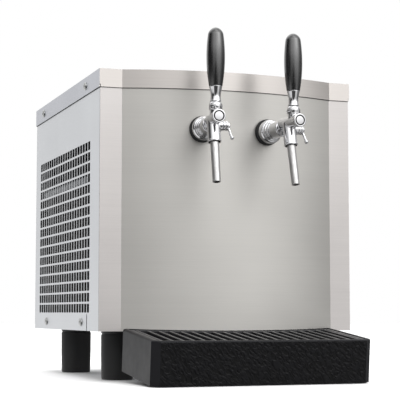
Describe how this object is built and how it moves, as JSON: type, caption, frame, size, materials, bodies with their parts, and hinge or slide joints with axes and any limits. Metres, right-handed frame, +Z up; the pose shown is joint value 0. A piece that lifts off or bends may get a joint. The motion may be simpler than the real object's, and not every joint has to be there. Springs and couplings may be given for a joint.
{
  "type": "draft beer dispenser",
  "caption": "Counter-top draft beer cooler with a bowed steel front, punched side grilles, lever taps with black grips and a sloping pull-out drip tray.",
  "frame": {"origin": "on the counter under the middle of the bounding box", "axes": "+Z up, -Y towards the taps and the drip tray, +X to the right of someone facing the taps"},
  "size_m": [0.4202, 0.6192, 0.52],
  "materials": {
    "front_steel": "satin",
    "sheet_steel": "satin",
    "screw_steel": "satin",
    "black_rubber": "matte",
    "fins": "matte",
    "galvanised": "satin",
    "dark_paint": "satin",
    "black_plastic": "matte",
    "copper": "satin",
    "insulation": "matte",
    "cast_aluminium": "satin",
    "tube_steel": "satin",
    "red_plastic": "gloss",
    "tray_plastic": "satin",
    "grate_plastic": "satin",
    "tap_chrome": "polished",
    "grip_plastic": "gloss",
    "plunger_brass": "satin"
  },
  "bodies": {
    "cabinet": {"base_pan": "sheet_steel", "front_panel": "front_steel", "left_side_panel": "sheet_steel", "right_side_panel": "sheet_steel", "rear_panel": "sheet_steel", "top_lid": "sheet_steel", "panel_screws": "screw_steel", "base_screws": "screw_steel", "feet": "black_rubber", "condenser_core": "fins", "condenser_frame": "galvanised", "fan_shroud": "galvanised", "fan_motor": "dark_paint", "compressor": "dark_paint", "compressor_grommets": "black_rubber", "refrigerant_lines": "copper", "filter_drier": "copper", "foam_housing": "insulation", "foam_lid": "insulation", "cold_block": "cast_aluminium", "beer_inlet_lines": "tube_steel", "beer_outlet_lines": "tube_steel", "left_beer_inlet": "tube_steel", "right_beer_inlet": "tube_steel", "thermostat_body": "black_plastic", "switch_housing": "black_plastic", "power_inlet": "black_plastic", "tray_arms": "dark_paint", "left_wall_gasket": "black_rubber", "left_rosette": "tap_chrome", "left_shank": "tube_steel", "left_shank_nut": "tube_steel", "left_tap_body": "tap_chrome", "left_front_cap": "tap_chrome", "left_spout": "tap_chrome", "left_collar_nut": "tap_chrome", "right_wall_gasket": "black_rubber", "right_rosette": "tap_chrome", "right_shank": "tube_steel", "right_shank_nut": "tube_steel", "right_tap_body": "tap_chrome", "right_front_cap": "tap_chrome", "right_spout": "tap_chrome", "right_collar_nut": "tap_chrome"},
    "left_handle": {"left_lever_stem": "tap_chrome", "left_ferrule": "tap_chrome", "left_handle_grip": "grip_plastic"},
    "left_plunger": {"left_valve_plunger": "plunger_brass"},
    "left_flow_control": {"left_flow_lever": "tap_chrome"},
    "right_handle": {"right_lever_stem": "tap_chrome", "right_ferrule": "tap_chrome", "right_handle_grip": "grip_plastic"},
    "right_plunger": {"right_valve_plunger": "plunger_brass"},
    "right_flow_control": {"right_flow_lever": "tap_chrome"},
    "fan": {"fan_blades": "black_plastic"},
    "temperature_knob": {"thermostat_knob": "black_plastic"},
    "rocker": {"switch_rocker": "red_plastic"},
    "tray": {"drip_tray": "tray_plastic"},
    "grate": {"drip_grate": "grate_plastic"}
  },
  "joints": [
    {"name": "left_handle_swing", "type": "hinge", "parent": "cabinet", "child": "left_handle", "pos_m": [-0.06176, -0.26718, 0.40309], "axis": [0.9945, -0.1043, 0], "range_deg": [0, 30]},
    {"name": "left_plunger_slide", "type": "slide", "parent": "cabinet", "child": "left_plunger", "axis": [0.1043, 0.9945, 0], "range_m": [0, 0.00904]},
    {"name": "left_flow_turn", "type": "hinge", "parent": "cabinet", "child": "left_flow_control", "pos_m": [-0.04748, -0.25562, 0.37709], "axis": [-0.9945, 0.1043, 0], "range_deg": [0, 100]},
    {"name": "right_handle_swing", "type": "hinge", "parent": "cabinet", "child": "right_handle", "pos_m": [0.06176, -0.26718, 0.40309], "axis": [0.9945, 0.1043, 0], "range_deg": [0, 30]},
    {"name": "right_plunger_slide", "type": "slide", "parent": "cabinet", "child": "right_plunger", "axis": [-0.1043, 0.9945, 0], "range_m": [0, 0.00904]},
    {"name": "right_flow_turn", "type": "hinge", "parent": "cabinet", "child": "right_flow_control", "pos_m": [0.07334, -0.25291, 0.37709], "axis": [-0.9945, -0.1043, 0], "range_deg": [0, 100]},
    {"name": "fan_spin", "type": "hinge", "parent": "cabinet", "child": "fan", "pos_m": [-0.14, 0.09359, 0.19669], "axis": [1, 0, 0], "continuous": true},
    {"name": "temperature_turn", "type": "hinge", "parent": "cabinet", "child": "temperature_knob", "pos_m": [-0.12, 0.28559, 0.40559], "axis": [0, 1, 0], "range_deg": [0, 270]},
    {"name": "rocker_tip", "type": "hinge", "parent": "cabinet", "child": "rocker", "pos_m": [-0.12, 0.28559, 0.34759], "axis": [1, 0, 0], "range_deg": [0, 20]},
    {"name": "tray_pull", "type": "slide", "parent": "cabinet", "child": "tray", "axis": [0, -1, 0], "range_m": [0, 0.13]},
    {"name": "grate_lift", "type": "slide", "parent": "tray", "child": "grate", "axis": [0, -0.1028, 0.9947], "range_m": [0, 0.06]}
  ],
  "couplings": [
    {"joint": "left_plunger_slide", "follows": "left_handle_swing", "m_per_rad": 0.016888},
    {"joint": "right_plunger_slide", "follows": "right_handle_swing", "m_per_rad": 0.016888}
  ]
}
